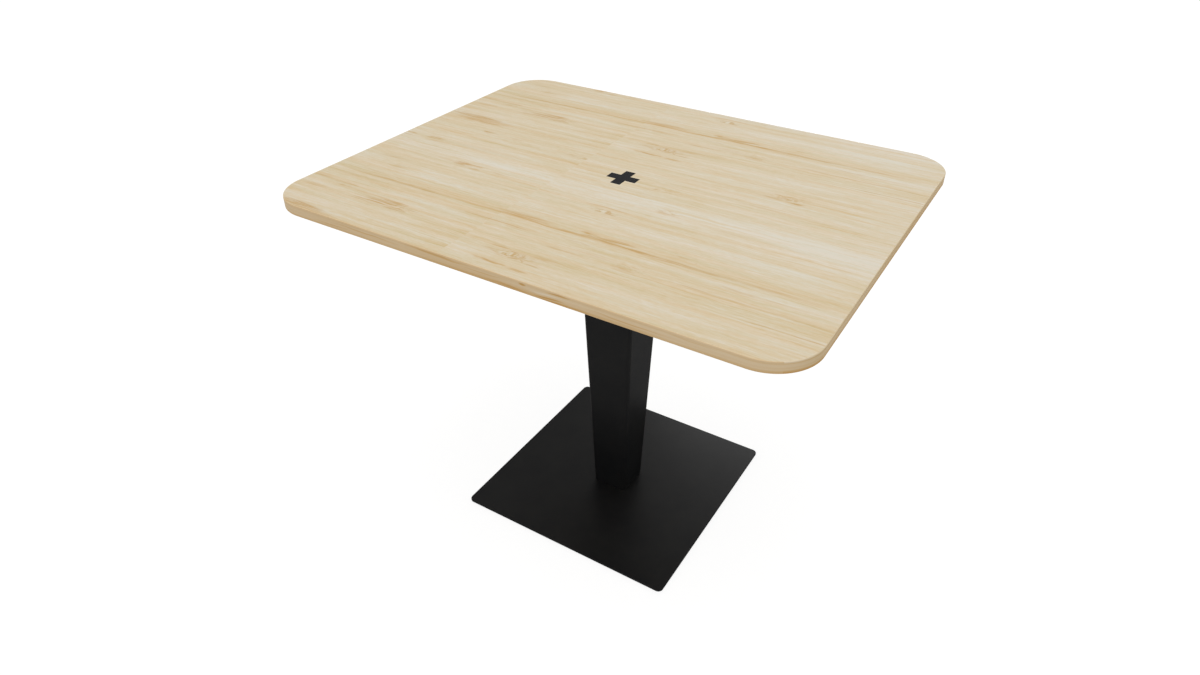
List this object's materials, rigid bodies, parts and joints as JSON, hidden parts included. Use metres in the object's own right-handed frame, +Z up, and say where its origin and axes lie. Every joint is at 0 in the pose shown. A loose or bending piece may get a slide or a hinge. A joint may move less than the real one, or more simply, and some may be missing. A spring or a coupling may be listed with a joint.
{
  "type": "pedestal table",
  "caption": "Rectangular wood-topped pedestal table on a tapered square steel column and a thin square base plate, with a charging spot marked in the middle of the top.",
  "frame": {"origin": "middle of the footprint, on the floor under the pads", "axes": "+Z up, +X along the long side of the top, +Y to the side with the power inlet"},
  "size_m": [1, 0.8, 0.75],
  "materials": {
    "pale_wood": "satin clear lacquer",
    "black_inlay": "matt",
    "black_powder_coat": "satin fine-textured powder coat",
    "zinc_plated_steel": "zinc plated",
    "brass_inserts": "plain",
    "pad_rubber": "matt",
    "black_plastic": "fine moulded texture",
    "clip_plastic": "natural",
    "coil_copper": "enamelled copper wire",
    "ferrite": "sintered",
    "circuit_board": "solder mask",
    "component_black": "moulded",
    "lead_sheath": "smooth",
    "nickel_plated_brass": "nickel plated"
  },
  "bodies": {
    "root": {"table_top": "pale_wood", "charging_mark": "black_inlay", "top_plate": "black_powder_coat", "threaded_inserts": "brass_inserts", "top_screws": "zinc_plated_steel", "top_washers": "zinc_plated_steel", "column_shell": "black_powder_coat", "column_top_flange": "black_powder_coat", "flange_screws": "zinc_plated_steel", "column_foot_block": "black_powder_coat", "foot_screws": "zinc_plated_steel", "base_plate": "black_powder_coat", "floor_pad_front_left": "pad_rubber", "floor_pad_front_right": "pad_rubber", "floor_pad_back_left": "pad_rubber", "floor_pad_back_right": "pad_rubber", "charger_housing": "black_plastic", "charger_cover": "black_plastic", "charger_coil": "coil_copper", "charger_ferrite": "ferrite", "charger_circuit_board": "circuit_board", "board_components": "component_black", "board_screws": "zinc_plated_steel", "housing_screws": "zinc_plated_steel", "lead_grommet": "pad_rubber", "charger_lead": "lead_sheath", "lead_clips": "clip_plastic", "power_inlet": "black_plastic", "inlet_pin": "nickel_plated_brass", "inlet_nut": "nickel_plated_brass"}
  },
  "joints": []
}
